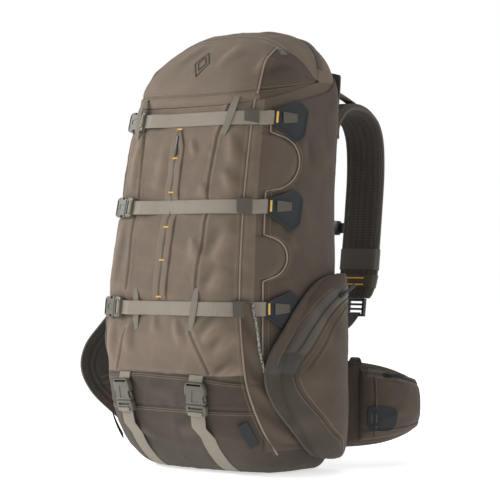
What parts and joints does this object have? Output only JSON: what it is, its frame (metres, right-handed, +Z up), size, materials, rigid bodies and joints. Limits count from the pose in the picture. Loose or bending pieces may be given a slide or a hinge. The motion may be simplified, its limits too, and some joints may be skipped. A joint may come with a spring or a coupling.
{
  "type": "hunting backpack",
  "caption": "Framed field backpack with a hinged crown, swing-out side pockets, clip-fastened straps, padded shoulder straps and a hip belt with pockets.",
  "frame": {"origin": "middle of the base panel's underside", "axes": "+Z up the pack, -Y the front, +Y the side the wearer's back is on, +X the wearer's right"},
  "size_m": [0.4556, 0.4383, 0.6308],
  "materials": {
    "pack_fabric": "brushed",
    "shade_fabric": "brushed",
    "base_fabric": "coated",
    "patch_rubber": "moulded",
    "stay_aluminium": "brushed",
    "sheet_plastic": "sheet",
    "webbing": "woven",
    "dark_webbing": "woven",
    "zip_tape": "coated",
    "clip_plastic": "moulded",
    "black_plastic": "moulded",
    "mesh_fabric": "spacer mesh"
  },
  "bodies": {
    "pack": {"anchor_patch_left_lower": "patch_rubber", "anchor_patch_left_middle": "patch_rubber", "anchor_patch_left_upper": "patch_rubber", "anchor_patch_right_lower": "patch_rubber", "anchor_patch_right_middle": "patch_rubber", "anchor_patch_right_upper": "patch_rubber", "back_pad_left": "mesh_fabric", "back_pad_right": "mesh_fabric", "back_panel": "mesh_fabric", "base_panel": "base_fabric", "compression_lower_socket": "clip_plastic", "compression_lower_webbing": "webbing", "compression_middle_socket": "clip_plastic", "compression_middle_webbing": "webbing", "compression_upper_socket": "clip_plastic", "compression_upper_webbing": "webbing", "frame_sheet": "sheet_plastic", "frame_stay_left": "stay_aluminium", "frame_stay_right": "stay_aluminium", "front_zip_tape": "zip_tape", "harness_yoke": "mesh_fabric", "lash_left_socket": "clip_plastic", "lash_left_webbing": "webbing", "lash_right_socket": "clip_plastic", "lash_right_webbing": "webbing", "load_lifter_left": "webbing", "load_lifter_right": "webbing", "lumbar_pad": "mesh_fabric", "main_bag": "pack_fabric", "shoulder_webbing_left": "webbing", "shoulder_webbing_right": "webbing", "side_panel_left": "shade_fabric", "side_panel_right": "shade_fabric"},
    "crown": {"crown_lid": "pack_fabric"},
    "side_pocket_right": {"side_pocket_right": "shade_fabric"},
    "side_zip_right": {"side_zip_slider_right": "black_plastic"},
    "side_pocket_left": {"side_pocket_left": "shade_fabric"},
    "side_zip_left": {"side_zip_slider_left": "black_plastic"},
    "front_zip": {"front_zip_slider": "black_plastic"},
    "compression_upper": {"compression_upper_clip": "clip_plastic"},
    "compression_middle": {"compression_middle_clip": "clip_plastic"},
    "compression_lower": {"compression_lower_clip": "clip_plastic"},
    "lash_right": {"lash_right_clip": "clip_plastic"},
    "lash_left": {"lash_left_clip": "clip_plastic"},
    "shoulder_right": {"shoulder_strap_right": "mesh_fabric", "ladder_lock_right": "black_plastic"},
    "sternum_right": {"sternum_strap_right": "dark_webbing"},
    "hip_right": {"hip_wing_right": "mesh_fabric", "hip_pocket_right": "shade_fabric", "hip_webbing_right": "webbing", "hip_buckle_clip": "black_plastic"},
    "hip_zip_right": {"hip_zip_slider_right": "black_plastic"},
    "shoulder_left": {"shoulder_strap_left": "mesh_fabric", "ladder_lock_left": "black_plastic"},
    "sternum_left": {"sternum_strap_left": "dark_webbing"},
    "hip_left": {"hip_wing_left": "mesh_fabric", "hip_pocket_left": "shade_fabric", "hip_webbing_left": "webbing", "hip_buckle_socket": "black_plastic"},
    "hip_zip_left": {"hip_zip_slider_left": "black_plastic"}
  },
  "joints": [
    {"name": "crown_hinge", "type": "hinge", "parent": "pack", "child": "crown", "pos_m": [0, -0.09314, 0.52146], "axis": [1, 0, 0], "range_deg": [0, 100]},
    {"name": "side_pocket_right_hinge", "type": "hinge", "parent": "pack", "child": "side_pocket_right", "pos_m": [0.14898, 0.07203, 0.155], "axis": [0, 0, 1], "range_deg": [0, 60]},
    {"name": "side_zip_right_slide", "type": "slide", "parent": "side_pocket_right", "child": "side_zip_right", "axis": [0.0369, -0.695, -0.718], "range_m": [0, 0.0412]},
    {"name": "side_pocket_left_hinge", "type": "hinge", "parent": "pack", "child": "side_pocket_left", "pos_m": [-0.14898, 0.07203, 0.155], "axis": [0, 0, -1], "range_deg": [-36, 24]},
    {"name": "side_zip_left_slide", "type": "slide", "parent": "side_pocket_left", "child": "side_zip_left", "axis": [-0.4384, -0.5406, -0.718], "range_m": [0, 0.0412]},
    {"name": "front_zip_slide", "type": "slide", "parent": "pack", "child": "front_zip", "axis": [0, -0.1924, -0.9813], "range_m": [0, 0.0444]},
    {"name": "compression_upper_release", "type": "slide", "parent": "pack", "child": "compression_upper", "axis": [0.9687, -0.2483, 0], "range_m": [0, 0.016]},
    {"name": "compression_middle_release", "type": "slide", "parent": "pack", "child": "compression_middle", "axis": [0.9746, -0.224, 0], "range_m": [0, 0.016]},
    {"name": "compression_lower_release", "type": "slide", "parent": "pack", "child": "compression_lower", "axis": [0.9759, -0.2183, 0], "range_m": [0, 0.016]},
    {"name": "lash_right_release", "type": "slide", "parent": "pack", "child": "lash_right", "axis": [-0.0211, 0.1994, -0.9797], "range_m": [0, 0.016]},
    {"name": "lash_left_release", "type": "slide", "parent": "pack", "child": "lash_left", "axis": [0.0211, 0.1994, -0.9797], "range_m": [0, 0.016]},
    {"name": "shoulder_right_swing", "type": "hinge", "parent": "pack", "child": "shoulder_right", "pos_m": [0, 0.11606, 0.486], "axis": [1, 0, 0], "range_deg": [0, 25], "deforming": ["shoulder_webbing_right", "load_lifter_right"]},
    {"name": "sternum_right_slide", "type": "slide", "parent": "shoulder_right", "child": "sternum_right", "axis": [0, 0.1116, 0.9938], "range_m": [-0.03, 0.03]},
    {"name": "hip_right_swing", "type": "hinge", "parent": "pack", "child": "hip_right", "pos_m": [0.092, 0.126, 0.09], "axis": [0, 0, 1], "range_deg": [-10, 15]},
    {"name": "hip_zip_right_slide", "type": "slide", "parent": "hip_right", "child": "hip_zip_right", "axis": [0.2462, 0.9448, -0.2164], "range_m": [0, 0.0427]},
    {"name": "shoulder_left_swing", "type": "hinge", "parent": "pack", "child": "shoulder_left", "pos_m": [0, 0.11606, 0.486], "axis": [1, 0, 0], "range_deg": [0, 25], "deforming": ["shoulder_webbing_left", "load_lifter_left"]},
    {"name": "sternum_left_slide", "type": "slide", "parent": "shoulder_left", "child": "sternum_left", "axis": [0, 0.1116, 0.9938], "range_m": [-0.03, 0.03]},
    {"name": "hip_left_swing", "type": "hinge", "parent": "pack", "child": "hip_left", "pos_m": [-0.092, 0.126, 0.09], "axis": [0, 0, -1], "range_deg": [-10, 15]},
    {"name": "hip_zip_left_slide", "type": "slide", "parent": "hip_left", "child": "hip_zip_left", "axis": [-0.2462, 0.9448, -0.2164], "range_m": [0, 0.0427]}
  ]
}
